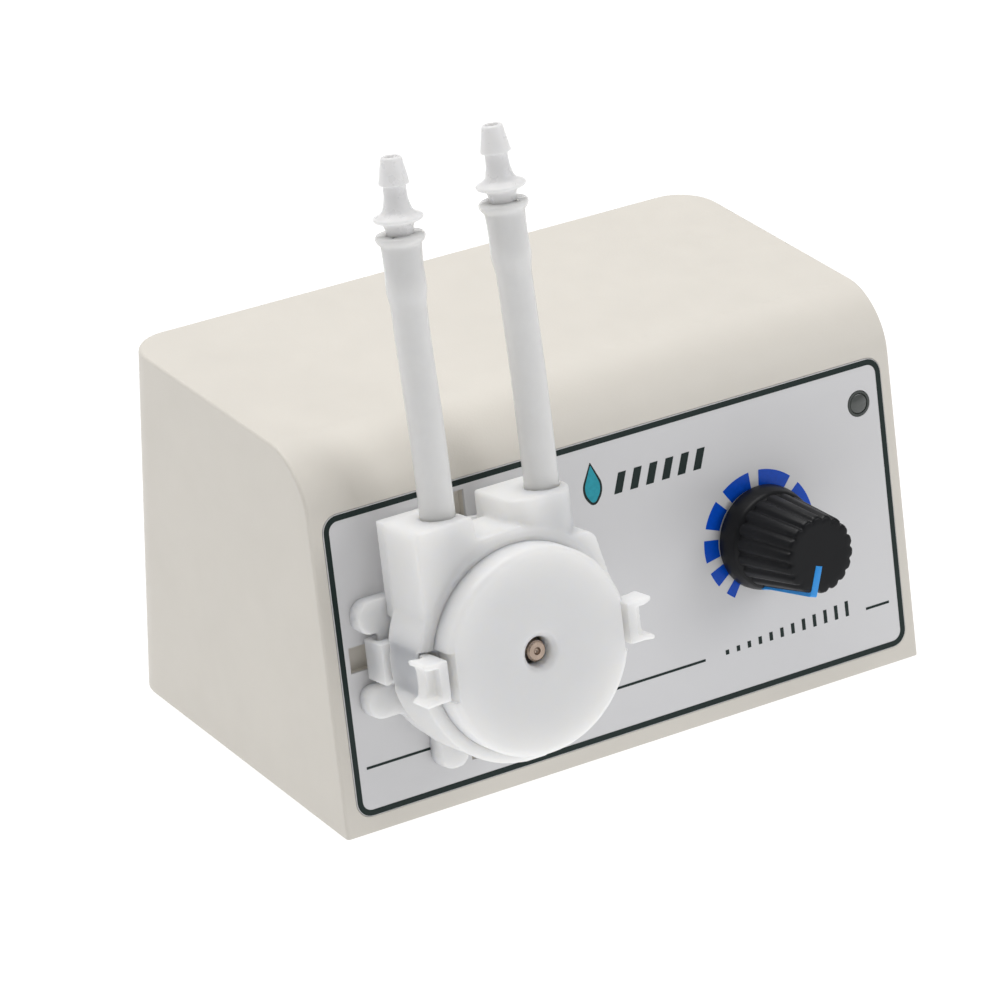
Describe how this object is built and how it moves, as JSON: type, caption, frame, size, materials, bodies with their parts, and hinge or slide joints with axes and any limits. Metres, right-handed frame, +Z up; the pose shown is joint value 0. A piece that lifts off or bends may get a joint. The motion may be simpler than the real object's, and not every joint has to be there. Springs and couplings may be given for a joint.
{
  "type": "peristaltic pump",
  "caption": "Desktop dosing pump: sloped ivory case with a clip-on peristaltic roller head, two upright silicone tubes with barbed fittings and a fluted speed knob.",
  "frame": {"origin": "centre of the underside of the box around the pump, its free tubing left out; the four feet stand on z = 0", "axes": "+Z up, +X to the right seen from the front, +Y from the front to the back"},
  "size_m": [0.1, 0.0768, 0.0988],
  "materials": {
    "case_plastic": "fine moulded texture, warm ivory",
    "front_print": "satin printed sheet, cool white",
    "head_plastic": "milky white, slightly see-through",
    "tube_silicone": "milky see-through silicone",
    "fitting_plastic": "milky see-through polypropylene",
    "knob_plastic": "charcoal satin",
    "pointer_plastic": "azure",
    "led_lens": "grey green tinted lens",
    "screw_steel": "zinc plated",
    "shaft_steel": "ground, slightly brown",
    "bare_steel": "tinned",
    "nut_plating": "nickel plated",
    "brass_tag": "plain",
    "motor_steel": "nickel plated can",
    "magnet": "ferrite",
    "potentiometer_can": "pressed can",
    "circuit_board": "green solder mask",
    "capacitor_sleeve": "dark blue sleeve",
    "black_plastic": "black moulding",
    "connector_plastic": "natural nylon",
    "lead_insulation": "soft PVC",
    "roller_plastic": "natural acetal",
    "foot_rubber": "soft black"
  },
  "bodies": {
    "case": {"bottom_cover": "case_plastic", "control_board": "circuit_board", "control_nut": "nut_plating", "control_washer": "nut_plating", "cover_screws": "screw_steel", "driver_chip": "black_plastic", "enclosure_shell": "case_plastic", "filter_capacitor": "capacitor_sleeve", "front_sheet": "front_print", "indicator_led": "led_lens", "inlet_fitting": "fitting_plastic", "inlet_tube": "tube_silicone", "led_leads": "bare_steel", "motor_can": "motor_steel", "motor_connector": "connector_plastic", "motor_end_cap": "black_plastic", "motor_leads": "lead_insulation", "motor_magnets": "magnet", "motor_screws": "screw_steel", "motor_terminals": "brass_tag", "outlet_fitting": "fitting_plastic", "outlet_tube": "tube_silicone", "potentiometer": "potentiometer_can", "potentiometer_pins": "bare_steel", "power_connector": "connector_plastic", "power_jack": "black_plastic", "power_jack_nut": "nut_plating", "power_jack_pin": "bare_steel", "power_jack_tags": "bare_steel", "power_leads": "lead_insulation", "pump_base": "head_plastic", "pump_cover": "head_plastic", "pump_housing": "head_plastic", "pump_tube": "tube_silicone", "rubber_feet": "foot_rubber"},
    "motor_rotor": {"motor_shaft": "shaft_steel", "drive_sleeve": "shaft_steel", "motor_armature": "motor_steel"},
    "roller_carrier": {"carrier_back_plate": "head_plastic", "carrier_front_plate": "head_plastic", "carrier_pins": "shaft_steel"},
    "roller_1": {"roller_1": "roller_plastic"},
    "roller_2": {"roller_2": "roller_plastic"},
    "roller_3": {"roller_3": "roller_plastic"},
    "speed_knob": {"knob": "knob_plastic", "knob_pointer": "pointer_plastic", "control_shaft": "black_plastic"},
    "latch_right": {"latch_right": "head_plastic"},
    "latch_left": {"latch_left": "head_plastic"}
  },
  "joints": [
    {"name": "motor_spin", "type": "hinge", "parent": "case", "child": "motor_rotor", "pos_m": [-0.0265, -0.02623, 0.02784], "axis": [0, -0.9802, 0.198], "continuous": true},
    {"name": "carrier_spin", "type": "hinge", "parent": "case", "child": "roller_carrier", "pos_m": [-0.0265, -0.02623, 0.02784], "axis": [0, -0.9802, 0.198], "continuous": true},
    {"name": "roller_1_spin", "type": "hinge", "parent": "roller_carrier", "child": "roller_1", "pos_m": [-0.0265, -0.02503, 0.03377], "axis": [0, -0.9802, 0.198], "continuous": true},
    {"name": "roller_2_spin", "type": "hinge", "parent": "roller_carrier", "child": "roller_2", "pos_m": [-0.03174, -0.02683, 0.02487], "axis": [0, -0.9802, 0.198], "continuous": true},
    {"name": "roller_3_spin", "type": "hinge", "parent": "roller_carrier", "child": "roller_3", "pos_m": [-0.02126, -0.02683, 0.02487], "axis": [0, -0.9802, 0.198], "continuous": true},
    {"name": "knob_turn", "type": "hinge", "parent": "case", "child": "speed_knob", "pos_m": [0.02405, -0.02496, 0.02758], "axis": [0, 0.9802, -0.198], "range_deg": [0, 300]},
    {"name": "latch_right_press", "type": "hinge", "parent": "case", "child": "latch_right", "pos_m": [-0.0114, -0.02643, 0.02788], "axis": [0, -0.198, -0.9802], "range_deg": [0, 7.5], "stiffness_Nm_per_rad": 0.14, "springref_deg": -2.86},
    {"name": "latch_left_press", "type": "hinge", "parent": "case", "child": "latch_left", "pos_m": [-0.0416, -0.02643, 0.02788], "axis": [0, 0.198, 0.9802], "range_deg": [0, 7.5], "stiffness_Nm_per_rad": 0.14, "springref_deg": -2.86}
  ],
  "couplings": [
    {"joint": "carrier_spin", "follows": "motor_spin", "ratio": 0.20661},
    {"joint": "roller_1_spin", "follows": "motor_spin", "ratio": -0.55872},
    {"joint": "roller_2_spin", "follows": "motor_spin", "ratio": -0.55872},
    {"joint": "roller_3_spin", "follows": "motor_spin", "ratio": -0.55872}
  ]
}
